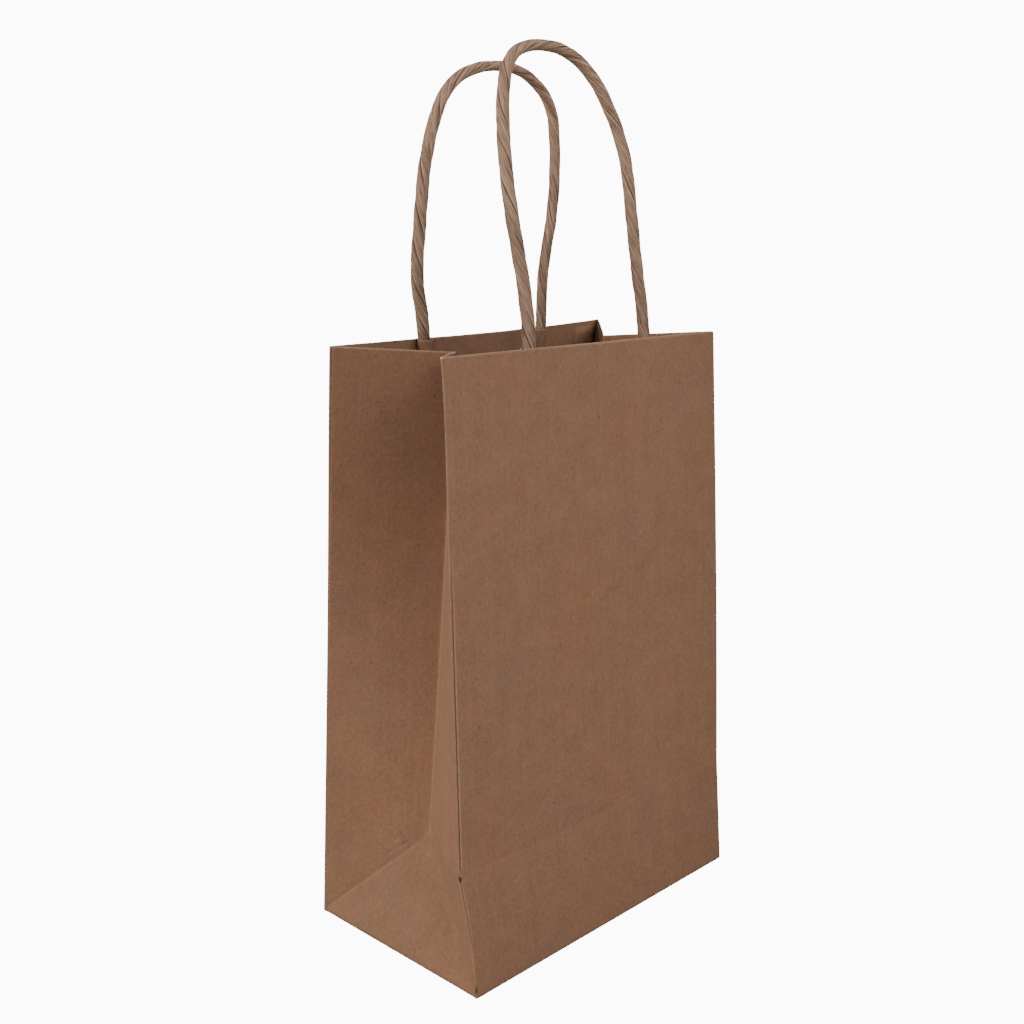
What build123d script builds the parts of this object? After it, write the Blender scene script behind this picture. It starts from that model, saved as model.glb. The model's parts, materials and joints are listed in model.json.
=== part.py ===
"""A small block-bottom paper carrier bag with two twisted-paper handles, standing open.

The paper tube is one folded sheet on the real bag. Here each panel between two creases is its own
piece, because a crease is where the bag moves. Every panel is placed by its middle surface, and
stops a little short of the crease that it meets. Millimetres; +X runs along the width, the front
faces -Y, +Z is up, and the origin is the middle of the base.
"""

import os
from math import cos, pi, radians, sin, sqrt, tan

from build123d import *

# Driving sizes of the bag
width = 135.0
depth = 82.0
height = 210.0
paper = 0.25

# How the open bag stands
strip_lean = 7.0  # the front strip below the flat-fold crease leans in
front_lean = 1.6  # the front panel above that crease
back_lean = 4.75  # the back panel
gusset_dent = 17.5  # how far the apex of the gusset creases is pushed in

# Base
flap_overlap = 24.0
base_setback = 1.0

# Creases
crease_setback = 0.4  # from a crease line to the edge of a gusset panel
crease_gap = 0.2  # from the mouth crease to the panel on each side of it

# Side seam
lap_width = 12.0
lap_setback = 2.0

# Handles
cord_diameter = 4.5
handle_spacing = 58.0
front_handle_shift = 1.6  # the handles are glued in this far to +X of the middle
back_handle_shift = 0.5
front_handle_lean = 10.0
back_handle_lean = 6.0
leg_depth = 27.0
pivot_gap = 0.3
rim_clearance = 0.5

# Handle patches
patch_width = 66.0
patch_height = 38.0
cord_clearance = 0.1

cord_radius = cord_diameter / 2
strip_height = depth / 2
panel_height = height - strip_height
pivot_rise = cord_radius + rim_clearance
cord_offset = paper + cord_clearance + cord_radius

os.makedirs("parts", exist_ok=True)


def leaning(foot, length, lean, towards):
    """The upper end of a panel of this length, leaning by an angle towards +Y (1) or -Y (-1)."""
    rise = length * cos(radians(lean))
    return (foot[0] + towards * length * sin(radians(lean)), foot[1] + rise)


# Side profile as (y, z): the crease above the front strip, and the two rims
front_foot = (-depth / 2, 0.0)
back_foot = (depth / 2, 0.0)
mouth_crease = leaning(front_foot, strip_height, strip_lean, 1)
front_rim = leaning(mouth_crease, panel_height, front_lean, 1)
back_rim = leaning(back_foot, height, back_lean, -1)

# Gusset creases: the folded sheet keeps its lengths, and that sets the apex and the tip at the rim
apex_x = width / 2 - gusset_dent
apex_z = sqrt(strip_height**2 - gusset_dent**2)
rim_gap = back_rim[0] - front_rim[0]
tip_x = width / 2 - sqrt(strip_height**2 - (rim_gap / 2) ** 2)
tip_y = (back_rim[0] + front_rim[0]) / 2
tip_z = apex_z + sqrt(panel_height**2 - (apex_x - tip_x) ** 2 - tip_y**2)


def facet_plane(corners):
    """The plane through the first three corners."""
    first = Vector(*corners[0])
    along = Vector(*corners[1]) - first
    normal = along.cross(Vector(*corners[2]) - first)
    return Plane(origin=first, x_dir=along, z_dir=normal)


def add_facet(*corners):
    """Adds a flat sheet of paper whose middle surface has these corners."""
    plane = facet_plane(corners)
    outline = [plane.to_local_coords(Vector(*corner)) for corner in corners]
    with BuildSketch(plane) as facet:
        with BuildLine():
            Polyline(*[(point.X, point.Y) for point in outline], close=True)
        make_face()
    extrude(facet.sketch, amount=paper / 2, both=True)


def towards(start, end, distance):
    """The point this far from start on the way to end."""
    first = Vector(*start)
    return tuple(first + (Vector(*end) - first).normalized() * distance)


def add_bent_facet(first, second, third, fourth):
    """Adds a four-cornered sheet that bends from first to third, as two flat ones either side."""
    add_facet(towards(first, second, crease_gap), second, towards(third, second, crease_gap))
    add_facet(towards(first, fourth, crease_gap), towards(third, fourth, crease_gap), fourth)


def panel_corners(lower, upper):
    """The corners of a full-width panel between two (y, z) points of the side profile."""
    half = width / 2
    low = [(-half, *lower), (half, *lower)]
    high = [(half, *upper), (-half, *upper)]
    return low + high


def along_profile(start, end, distance):
    """The (y, z) point this far from start on the way to end."""
    point = towards((0, *start), (0, *end), distance)
    return (point[1], point[2])


def finish(builder, name):
    """Labels a piece and writes it."""
    builder.part.label = name
    export_step(builder.part, f"parts/{name}.step")


# Base: two tucks from the sides, then the back flap, then the front flap pasted over it
base_x = width / 2 - base_setback
base_y = depth / 2 - base_setback
flap_reach = depth / 2 + flap_overlap / 2
flap_tip_x = width / 2 - flap_reach


def flap_outline(side):
    """A trapezoid that starts at the front (-1) or back (1) edge and passes the middle."""
    edge = side * base_y
    tip = -side * flap_overlap / 2
    return [(-base_x, edge), (base_x, edge), (flap_tip_x, tip), (-flap_tip_x, tip)]


for level, side, name in ((0, -1, "base_flap_outer"), (1, 1, "base_flap_inner")):
    with BuildPart() as base_flap:
        with BuildSketch(Plane.XY.offset(level * paper)):
            with BuildLine():
                Polyline(*flap_outline(side), close=True)
            make_face()
        extrude(amount=paper)
    finish(base_flap, name)

tuck_centre = base_x - flap_reach / 2
for side, name in ((-1, "base_tuck_left"), (1, "base_tuck_right")):
    with BuildPart() as base_tuck:
        with BuildSketch(Plane.XY.offset(2 * paper)):
            with Locations((side * tuck_centre, 0)):
                Rectangle(flap_reach, 2 * base_y)
        extrude(amount=paper)
    finish(base_tuck, name)

# Front strip, below the crease that the mouth opens on
with BuildPart() as front_strip:
    strip_top = along_profile(mouth_crease, front_foot, crease_gap)
    add_facet(*panel_corners(front_foot, strip_top))
    split(bisect_by=Plane.XY, keep=Keep.TOP)
finish(front_strip, "front_strip")

# Front panel, above it
with BuildPart() as front_panel:
    panel_bottom = along_profile(mouth_crease, front_rim, crease_gap)
    add_facet(*panel_corners(panel_bottom, front_rim))
finish(front_panel, "front_panel")

# Back panel
with BuildPart() as back_panel:
    add_facet(*panel_corners(back_foot, back_rim))
    split(bisect_by=Plane.XY, keep=Keep.TOP)
finish(back_panel, "back_panel")

# Gussets: each has a lower facet, and a front and a rear half that meet at the centre crease
for side, word in ((-1, "left"), (1, "right")):
    corner_x = side * width / 2
    back_corner = (corner_x, *back_foot)
    front_corner = (corner_x, *front_foot)
    crease_end = (corner_x, *mouth_crease)
    front_top = (corner_x, *front_rim)
    back_top = (corner_x, *back_rim)
    apex = (side * apex_x, 0.0, apex_z)
    tip = (side * tip_x, tip_y, tip_z)

    with BuildPart() as gusset_base:
        front_low = towards(front_corner, back_corner, crease_setback)
        back_low = towards(back_corner, front_corner, crease_setback)
        front_high = towards(crease_end, apex, crease_setback)
        peak = towards(apex, front_corner, crease_setback)
        add_bent_facet(front_low, front_high, peak, back_low)
        split(bisect_by=Plane.XY, keep=Keep.TOP)
    finish(gusset_base, f"{word}_gusset_base")

    with BuildPart() as gusset_front:
        low_front = towards(towards(crease_end, apex, crease_setback), front_top, crease_setback)
        low_tip = towards(towards(apex, crease_end, crease_setback), tip, crease_setback)
        high_front = towards(front_top, tip, crease_setback)
        high_tip = towards(tip, front_top, crease_setback)
        add_bent_facet(low_front, low_tip, high_tip, high_front)
    finish(gusset_front, f"{word}_gusset_front")

    with BuildPart() as gusset_rear:
        low_back = towards(towards(back_corner, apex, crease_setback), back_top, 3 * crease_setback)
        low_apex = towards(towards(apex, back_corner, crease_setback), tip, crease_setback)
        high_back = towards(back_top, tip, crease_setback)
        high_mid = towards(tip, back_top, crease_setback)
        add_bent_facet(low_back, low_apex, high_mid, high_back)
    finish(gusset_rear, f"{word}_gusset_rear")


def wall_plane(rim, lean, side):
    """At the rim's middle on a wall's inner face: x along the rim, y down the wall, z inwards."""
    down = Vector(0, side * sin(radians(lean)), -cos(radians(lean)))
    x_dir = Vector(-side, 0, 0)
    inwards = x_dir.cross(down)
    middle = Vector(0, *rim) + inwards * (paper / 2)
    return Plane(origin=middle, x_dir=x_dir, z_dir=inwards)


front_wall = wall_plane(front_rim, front_lean, -1)
back_wall = wall_plane(back_rim, back_lean, 1)

# Side seam: the lap that closes the tube, pasted inside the back panel at its right edge
with BuildPart() as side_seam_lap:
    seam_x = -(width / 2 - lap_setback - lap_width / 2)
    lap_length = height - 2 * lap_setback
    with BuildSketch(back_wall):
        with Locations((seam_x, lap_setback + lap_length / 2)):
            Rectangle(lap_width, lap_length)
    extrude(amount=paper)
finish(side_seam_lap, "side_seam_lap")


def handle_points(centre_x, points):
    """Handle route points as (x, height above the rim), moved to a plane with its origin at the pivot."""
    return [(x - centre_x, rise - pivot_rise) for x, rise in points]


leg = handle_spacing / 2

# Each handle's route, chosen by hand: x along the rim, and height above the rim along the loop
front_route = [
    (front_handle_shift - leg, pivot_rise),
    (-27.0, 20.8),
    (-28.7, 42.0),
    (-28.2, 64.3),
    (-24.4, 85.4),
    (-16.8, 95.2),
    (-0.9, 97.6),
    (11.5, 95.0),
    (22.8, 85.6),
    (31.9, 64.4),
    (31.0, 43.4),
    (30.2, 22.1),
    (front_handle_shift + leg, pivot_rise),
]
back_route = [
    (back_handle_shift - leg, pivot_rise),
    (-34.2, 20.1),
    (-33.5, 40.9),
    (-32.6, 61.5),
    (-26.8, 81.6),
    (-16.2, 90.1),
    (-0.7, 93.1),
    (13.4, 91.3),
    (26.8, 82.0),
    (30.4, 65.8),
    (31.5, 44.8),
    (27.9, 21.8),
    (back_handle_shift + leg, pivot_rise),
]


def bend_radii(points):
    """An arc for each inner point, as large as its two runs allow."""
    radii = []
    for before, here, after in zip(points, points[1:], points[2:]):
        first = Vector(*here) - Vector(*before)
        second = Vector(*after) - Vector(*here)
        turn = first.get_angle(second)
        radii.append(0.45 * min(first.length, second.length) / tan(radians(turn / 2)))
    return radii


handles = (
    ("front", front_wall, front_handle_shift, front_route, front_handle_lean),
    ("back", back_wall, back_handle_shift, back_route, -back_handle_lean),
)

for word, wall, shift, route, lean in handles:
    # the wall plane's x runs along -X on the back wall
    local_shift = shift * wall.x_dir.X
    leg_places = [local_shift - leg, local_shift + leg]

    with BuildPart() as patch_backing:
        with BuildSketch(wall):
            with Locations((local_shift, patch_height / 2)):
                Rectangle(patch_width, patch_height)
        extrude(amount=paper)
    finish(patch_backing, f"{word}_patch_backing")

    # Looking down on the rim: the cover lies on the backing and rises over each cord
    across = Plane(origin=wall.origin, x_dir=wall.x_dir, z_dir=-wall.y_dir)
    with BuildPart() as patch_cover:
        with BuildSketch(across):
            with Locations((local_shift, 1.5 * paper)):
                Rectangle(patch_width, paper)
            with Locations([(place, cord_offset) for place in leg_places]):
                Circle(cord_radius + cord_clearance + paper)
            rib_height = cord_offset - paper
            with Locations([(place, paper + rib_height / 2) for place in leg_places]):
                Rectangle(2 * (cord_radius + cord_clearance + paper), rib_height)
            with Locations([(place, cord_offset) for place in leg_places]):
                Circle(cord_radius + cord_clearance, mode=Mode.SUBTRACT)
            with Locations([(place, paper + rib_height / 2) for place in leg_places]):
                Rectangle(2 * (cord_radius + cord_clearance), rib_height, mode=Mode.SUBTRACT)
            with Locations((local_shift, 0)):
                Rectangle(patch_width, 2 * paper, mode=Mode.SUBTRACT)
        extrude(amount=-patch_height)
    finish(patch_cover, f"{word}_patch_cover")

    # The cord's two ends, glued between the patch's layers
    stub_rise = pivot_rise - cord_radius - pivot_gap
    with BuildPart() as handle_ends:
        with BuildSketch(Plane(origin=across.from_local_coords(Vector(0, 0, stub_rise)), x_dir=wall.x_dir,
                               z_dir=across.z_dir)):
            with Locations([(place, cord_offset) for place in leg_places]):
                Circle(cord_radius)
        extrude(amount=-(stub_rise + leg_depth))
    finish(handle_ends, f"{word}_handle_ends")

    # The loop, hinged where it leaves the patch: a ball at each end keeps the pivot free
    pivot = across.from_local_coords(Vector(local_shift, cord_offset, pivot_rise))
    loop_plane = Plane(origin=pivot, x_dir=(1, 0, 0), z_dir=(0, -cos(radians(lean)), sin(radians(lean))))
    points = handle_points(shift, route)
    radii = bend_radii(points)
    print(f"{word} handle bend radii:", [round(radius, 1) for radius in radii])
    with BuildPart() as handle_loop:
        with BuildLine(loop_plane) as loop_path:
            FilletPolyline(*points, radius=radii)
        with BuildSketch(Plane(origin=loop_path.line @ 0, z_dir=loop_path.line % 0)):
            Circle(cord_radius)
        sweep()
        with Locations(loop_path.line @ 0, loop_path.line @ 1):
            Sphere(cord_radius)
    finish(handle_loop, f"{word}_handle_loop")
    loop_length = sum(edge.length for edge in loop_path.line.edges())
    balls = 2 / 3 * pi * cord_radius**3 * 2
    print(f"{word} loop: length {loop_length:.1f}, volume {handle_loop.part.volume:.0f}, section times"
          f" length and two half balls {pi * cord_radius**2 * loop_length + balls:.0f}")
    print(f"{word} pivot at ({pivot.X:.3f}, {pivot.Y:.3f}, {pivot.Z:.3f})")

print(f"mouth crease at y {mouth_crease[0]:.3f}, z {mouth_crease[1]:.3f}")
print(f"front rim at y {front_rim[0]:.3f}, z {front_rim[1]:.3f}")
print(f"back rim at y {back_rim[0]:.3f}, z {back_rim[1]:.3f}")
print(f"gusset apex at x {apex_x:.3f}, z {apex_z:.3f}")
print(f"gusset tip at x {tip_x:.3f}, y {tip_y:.3f}, z {tip_z:.3f}")
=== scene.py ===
# %% [markdown]
# # A small kraft paper carrier bag
# One sheet of brown kraft paper, folded into a block-bottom bag that stands open, with two
# twisted-paper handles. Everything is in metres. +X runs along the front, the front faces -Y,
# and the origin is the middle of the base.

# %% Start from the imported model
import json
from math import cos, exp, pi, radians, sin, sqrt

import bpy
import numpy as np
from mathutils import Matrix, Vector, noise

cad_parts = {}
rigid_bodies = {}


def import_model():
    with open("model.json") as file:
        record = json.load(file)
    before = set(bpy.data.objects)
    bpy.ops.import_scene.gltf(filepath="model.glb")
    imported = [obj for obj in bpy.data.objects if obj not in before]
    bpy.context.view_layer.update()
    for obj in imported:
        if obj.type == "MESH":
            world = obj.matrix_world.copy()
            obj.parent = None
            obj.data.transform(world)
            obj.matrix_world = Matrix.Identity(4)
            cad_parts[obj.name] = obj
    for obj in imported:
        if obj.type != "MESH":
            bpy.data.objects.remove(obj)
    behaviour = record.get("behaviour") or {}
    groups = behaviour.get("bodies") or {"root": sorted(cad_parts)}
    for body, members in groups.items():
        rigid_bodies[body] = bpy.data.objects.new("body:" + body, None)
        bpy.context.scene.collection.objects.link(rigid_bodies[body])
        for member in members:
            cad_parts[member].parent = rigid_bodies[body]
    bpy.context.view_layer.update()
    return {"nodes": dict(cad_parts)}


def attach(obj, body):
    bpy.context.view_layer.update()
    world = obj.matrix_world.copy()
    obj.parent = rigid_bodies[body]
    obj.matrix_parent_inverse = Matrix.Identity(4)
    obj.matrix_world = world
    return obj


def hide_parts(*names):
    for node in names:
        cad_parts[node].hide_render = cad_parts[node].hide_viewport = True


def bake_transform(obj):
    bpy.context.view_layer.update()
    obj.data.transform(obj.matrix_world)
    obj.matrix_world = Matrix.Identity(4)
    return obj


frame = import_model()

# %% [markdown]

# %% [markdown]
# ## Camera
# It stands off the bag's front-left corner, a little above it, and looks slightly down.

# %% Camera
yaw, pitch, roll = radians(45.015), radians(12.129), radians(-0.467)
forward = Vector((sin(yaw) * cos(pitch), cos(yaw) * cos(pitch), -sin(pitch)))
level = Vector((cos(yaw), -sin(yaw), 0))
right = level * cos(roll) + level.cross(forward) * sin(roll)
camera_up = right.cross(forward)
camera_data = bpy.data.cameras.new("camera")
camera_data.lens = 44.45
camera_data.sensor_width = 36
camera_data.dof.use_dof = False
camera = bpy.data.objects.new("camera", camera_data)
turn = Matrix((right, camera_up, -forward)).transposed().to_4x4()
camera.matrix_world = Matrix.Translation((-0.3202, -0.31239, 0.24273)) @ turn
bpy.context.scene.collection.objects.link(camera)
bpy.context.scene.camera = camera

# %% [markdown]
# ## Sizes
# The bag's creases and corners, on the middle surface of the paper.

# %% Sizes
MM = 0.001
HALF = 67.5 * MM  # half the width
DEPTH = 82 * MM
HEIGHT = 210 * MM
CREASE = 41 * MM  # height of the flat-fold crease, along the paper
PAPER = 0.25 * MM
FRONT_RIM_Y, BACK_RIM_Y, BACK_RIM_Z = -31.285 * MM, 23.61 * MM, 209.279 * MM
APEX = Vector((50.0, 0.0, 38.2)) * MM
TIP = Vector((37.043, -3.837, 206.9)) * MM
BOTTOM = PAPER / 2
CORNER_RADIUS = 0.55 * MM
TURN_UNDER = 0.9 * MM  # how far the paper runs on under the base


def crease_corner(side):
    """Where the flat-fold crease meets the side: the left corner is dented in further."""
    y = -34.2 * MM if side < 0 else -37.7 * MM
    return Vector((side * HALF, y, BOTTOM + sqrt(CREASE**2 - (y + DEPTH / 2) ** 2)))


def front_corner(side):
    """The left one stands a little proud of the base."""
    if side < 0:
        return Vector((-67.0 * MM, -41.3 * MM, BOTTOM))
    return Vector((HALF, -DEPTH / 2 + BOTTOM, BOTTOM))


def back_corner(side):
    return Vector((side * HALF, DEPTH / 2 - BOTTOM, BOTTOM))


def front_top(side):
    foot = crease_corner(side)
    rise = sqrt((HEIGHT - CREASE) ** 2 - (FRONT_RIM_Y - foot.y) ** 2)
    return Vector((foot.x, FRONT_RIM_Y, foot.z + rise - 0.65 * MM))


def back_top(side):
    if side > 0:
        return Vector((HALF - 2.0 * MM, BACK_RIM_Y, BACK_RIM_Z + 2.4 * MM))
    return Vector((-HALF, BACK_RIM_Y, BACK_RIM_Z))


def apex(side):
    return Vector((side * APEX.x, APEX.y, APEX.z))


def tip(side):
    return Vector((side * TIP.x, TIP.y, TIP.z + (1.2 * MM if side > 0 else 0)))


# %% [markdown]
# ## Folding
# `fold` bends a sheet round a crease: `distance` runs along the paper, negative before the crease.

# %% Folding
def fold(corner, back, onward, distance, radius):
    if distance <= -radius:
        return corner - back * distance
    if distance >= radius:
        return corner + onward * distance
    share = (distance + radius) / (2 * radius)
    first, last = corner + back * radius, corner + onward * radius
    return first * (1 - share) ** 2 + corner * (2 * share * (1 - share)) + last * share**2


def belly(side, height):
    """The left front corner swells out a little below the flat-fold crease."""
    if side > 0 or not 0 < height < CREASE:
        return 0
    return 1.25 * MM * sin(pi * (height / CREASE) ** 0.9)


def front_edge(side, height):
    """The front's side edge at this height along the paper; under the base it runs inwards."""
    foot, knee, top = front_corner(side), crease_corner(side), front_top(side)
    along = (knee - foot) / CREASE
    if height < 0.5 * CREASE:
        point = fold(foot, Vector((0, 1, 0)), along, height, 0.5 * MM)
    else:
        point = fold(knee, -along, (top - knee) / (HEIGHT - CREASE), height - CREASE, 1.2 * MM)
    point.y -= belly(side, height)
    if side < 0:
        # the loose top corner flares outwards
        point.x -= 0.9 * MM * max(0, (height - 185 * MM) / (25 * MM)) ** 2
    else:
        point.x += (0.4 + 1.0 * sin(pi * min(1, max(0, height / HEIGHT)))) * MM
    return point


def back_edge(side, height):
    foot, top = back_corner(side), back_top(side)
    return fold(foot, Vector((0, -1, 0)), (top - foot) / HEIGHT, height, 0.6 * MM)


def centre_crease(side, height):
    """The crease down a gusset's middle, bowed in a little between its ends."""
    rise = (height - CREASE) / (HEIGHT - CREASE)
    point = apex(side).lerp(tip(side), rise)
    point.x -= side * 0.85 * MM * max(0, sin(pi * min(1, max(0, rise)))) ** 0.7
    return point


def gusset_front(side, reach, height):
    """The front half of a gusset above the crease: reach runs back from the front edge."""
    edge = front_edge(side, height)
    return edge.lerp(centre_crease(side, height), reach / CREASE)


def gusset_rear(side, reach, rise):
    """The rear half: rise is the share of the way from the slanting crease to the rim."""
    share = (reach - CREASE) / CREASE
    low = apex(side).lerp(back_corner(side), share)
    high = tip(side).lerp(back_top(side), share)
    point = low.lerp(high, rise)
    point.x -= side * 0.85 * MM * (1 - share) * max(0, sin(pi * min(1, max(0, rise)))) ** 0.7
    return point


def gusset_low(side, reach, height):
    """The facet below the slanting creases, bent along its diagonal."""
    foot = front_corner(side)
    up = (crease_corner(side) - foot) / CREASE
    over = (apex(side) - crease_corner(side)) / CREASE
    if reach <= height:
        bulge = belly(side, height) * (1 - ramp(reach, 0, 0.8 * height + 1 * MM))
        return foot + up * height + over * reach - Vector((0, bulge, 0))
    to_apex = (apex(side) - foot) * (height / CREASE)
    return foot + to_apex + (back_corner(side) - foot) * ((reach - height) / DEPTH)


# %% [markdown]
# ## Sheets
# A sheet is a grid of points. Each point also keeps where it lies on the flat, unfolded paper
# (`flat`), how worn and pale it is (`pale`) and how much painted shade darkens it in its creases, folds and
# hollows.

# %% Sheets
def spaced(start, end, step, fine=(), fine_step=0.25 * MM, reach=1.6 * MM):
    """Places from start to end, closer together near the fine ones."""
    places, here = [start], start
    while here < end:
        gap = min([abs(here - f) for f in fine] or [1])
        here += fine_step if gap < reach else min(step, max(fine_step, 0.5 * (gap - reach)))
        places.append(min(here, end))
    if len(places) > 2 and places[-1] - places[-2] < 0.1 * fine_step:
        places.pop(-2)
    return places


def make_sheet(name, across, up, place, mark, material, edge_material, flip=False):
    rows, flat, pale, painted_shade = [], [], [], []
    for v in up:
        for u in across:
            point, on_paper = place(u, v)
            worn, gloom = mark(u, v)
            rows.append(point)
            flat.append(on_paper)
            pale.append(worn)
            painted_shade.append(gloom)
    wide = len(across)
    faces = []
    for j in range(len(up) - 1):
        for i in range(wide - 1):
            corner = j * wide + i
            face = (corner, corner + 1, corner + wide + 1, corner + wide)
            faces.append(face[::-1] if flip else face)
    mesh = bpy.data.meshes.new(name)
    mesh.from_pydata(rows, [], faces)
    mesh.polygons.foreach_set("use_smooth", [True] * len(faces))
    kept = mesh.attributes.new("flat", "FLOAT_VECTOR", "POINT")
    kept.data.foreach_set("vector", np.array(flat, np.float32).ravel())
    for word, values in (("pale", pale), ("painted_shade", painted_shade)):
        kept = mesh.attributes.new(word, "FLOAT", "POINT")
        kept.data.foreach_set("value", np.array(values, np.float32))
    mesh.materials.append(material)
    mesh.materials.append(edge_material)
    obj = bpy.data.objects.new(name, mesh)
    bpy.context.scene.collection.objects.link(obj)
    solid = obj.modifiers.new("thickness", "SOLIDIFY")
    solid.thickness = PAPER
    solid.offset = 0
    solid.material_offset_rim = 1
    solid.use_even_offset = False
    print(name, "has", len(faces), "faces")
    return obj


def line(distance, width):
    return exp(-((distance / width) ** 2))


def ramp(value, low, high):
    t = min(1, max(0, (value - low) / (high - low)))
    return t * t * (3 - 2 * t)


def swell(u, v, seed, size=45 * MM):
    """A slow wave from -1 to 1, as paper never lies quite flat."""
    return noise.noise(Vector((u / size, v / size, seed))) * 1.6


def patched(u, v):
    """1 where a handle patch stiffens the paper, 0 well away from it."""
    return ramp(v, HEIGHT - 62 * MM, HEIGHT - 42 * MM) * (1 - ramp(abs(u), 38 * MM, 52 * MM))


# %% [markdown]
# ## Shader maths
# `Value` lets a shader be written as arithmetic.

# %% Shader maths
PAPER_SHINE = 0.25  # of the usual highlight


class Value:
    def __init__(self, maker, socket):
        self.maker, self.socket = maker, socket

    def maths(self, operation, *others, clamp=False):
        node = self.maker.tree.nodes.new("ShaderNodeMath")
        node.operation = operation
        node.use_clamp = clamp
        for slot, value in zip(node.inputs, (self, *others)):
            self.maker.fill(slot, value)
        return Value(self.maker, node.outputs[0])

    def __add__(self, other):
        return self.maths("ADD", other)

    def __sub__(self, other):
        return self.maths("SUBTRACT", other)

    def __mul__(self, other):
        return self.maths("MULTIPLY", other)

    def __truediv__(self, other):
        return self.maths("DIVIDE", other)

    def __rsub__(self, other):
        return (self * -1) + other

    __radd__, __rmul__ = __add__, __mul__

    def size(self):
        return self.maths("ABSOLUTE")

    def clamped(self):
        return self.maths("ADD", 0, clamp=True)

    def below(self, edge, soft):
        """1 where the value is under edge, falling to 0 over a soft width."""
        return ((edge - self) / soft + 0.5).clamped()


class Maker:
    def __init__(self, name):
        self.material = bpy.data.materials.new(name)
        self.material.use_nodes = True
        self.tree = self.material.node_tree
        self.tree.nodes.clear()

    def fill(self, slot, value):
        if isinstance(value, Value):
            value = value.socket
        if isinstance(value, bpy.types.NodeSocket):
            self.tree.links.new(value, slot)
        else:
            slot.default_value = value

    def node(self, kind, output=0, settings=None, **inputs):
        made = self.tree.nodes.new("ShaderNode" + kind)
        for word, value in (settings or {}).items():
            setattr(made, word, value)
        for word, value in inputs.items():
            self.fill(made.inputs[word.replace("_", " ")], value)
        return Value(self, made.outputs[output])

    def attribute(self, name, output="Fac"):
        return self.node("Attribute", output, {"attribute_name": name})

    def vector(self, x, y, z):
        return self.node("CombineXYZ", X=x, Y=y, Z=z)

    def parts(self, vector):
        split = self.tree.nodes.new("ShaderNodeSeparateXYZ")
        self.fill(split.inputs[0], vector)
        return [Value(self, out) for out in split.outputs]

    def cloud(self, vector, scale, detail=2.0, roughness=0.5):
        """Noise between about -1 and 1."""
        made = self.node("TexNoise", "Fac", Vector=vector, Scale=scale, Detail=detail, Roughness=roughness)
        return (made - 0.5) * 2.6

    def mix(self, factor, first, second):
        made = self.tree.nodes.new("ShaderNodeMix")
        made.data_type = "RGBA"
        for slot, value in zip((0, 6, 7), (factor, first, second)):
            self.fill(made.inputs[slot], value)
        return Value(self, made.outputs[2])

    def scaled(self, colour, factor):
        """A colour made lighter or darker by a number."""
        grey = self.vector(factor, factor, factor)
        made = self.node("VectorMath", 0, {"operation": "MULTIPLY"})
        inputs = made.socket.node.inputs
        self.fill(inputs[0], colour)
        self.fill(inputs[1], grey)
        return made

    def finish(self, colour, roughness, height, depth):
        bump = self.node("Bump", Strength=1.0, Distance=depth, Height=height)
        surface = self.node("BsdfPrincipled", Base_Color=colour, Roughness=roughness, Normal=bump)
        self.fill(surface.socket.node.inputs["Specular IOR Level"], PAPER_SHINE)
        self.output(surface)
        return self.material

    def output(self, surface):
        end = self.tree.nodes.new("ShaderNodeOutputMaterial")
        self.fill(end.inputs["Surface"], surface)


# %% [markdown]
# ## Kraft paper
# Cloudy pulp, streaks along the run of the paper, dark specks, and short dark and pale fibres.

# %% Kraft paper
def hairs(maker, x, y, cell, seed, length, width, chance):
    """Short, slightly curved fibres, at most one to a cell, each at its own angle."""
    place = maker.vector(x / cell, y / cell, seed)
    cells = maker.node("TexVoronoi", "Distance", {"voronoi_dimensions": "2D"}, Vector=place, Scale=1.0)
    outputs = cells.socket.node.outputs
    pick, angle, other = maker.parts(outputs["Color"])
    centre_x, centre_y, _ = maker.parts(outputs["Position"])
    dx = (x / cell - centre_x) * cell
    dy = (y / cell - centre_y) * cell
    turned = angle * 6.28
    c, s = turned.maths("COSINE"), turned.maths("SINE")
    along = dx * c + dy * s
    bend = along * along * (other - 0.5) * 0.5
    offset = (dy * c - dx * s + bend).size()
    inside = along.size().below(length * (0.4 + other * 0.6), 0.3)
    return offset.below(width, width) * inside * pick.below(chance, 0.01)


def tinted(colour, tint):
    return (*(min(1, c * k) for c, k in zip(colour, tint)), 1)


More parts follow.
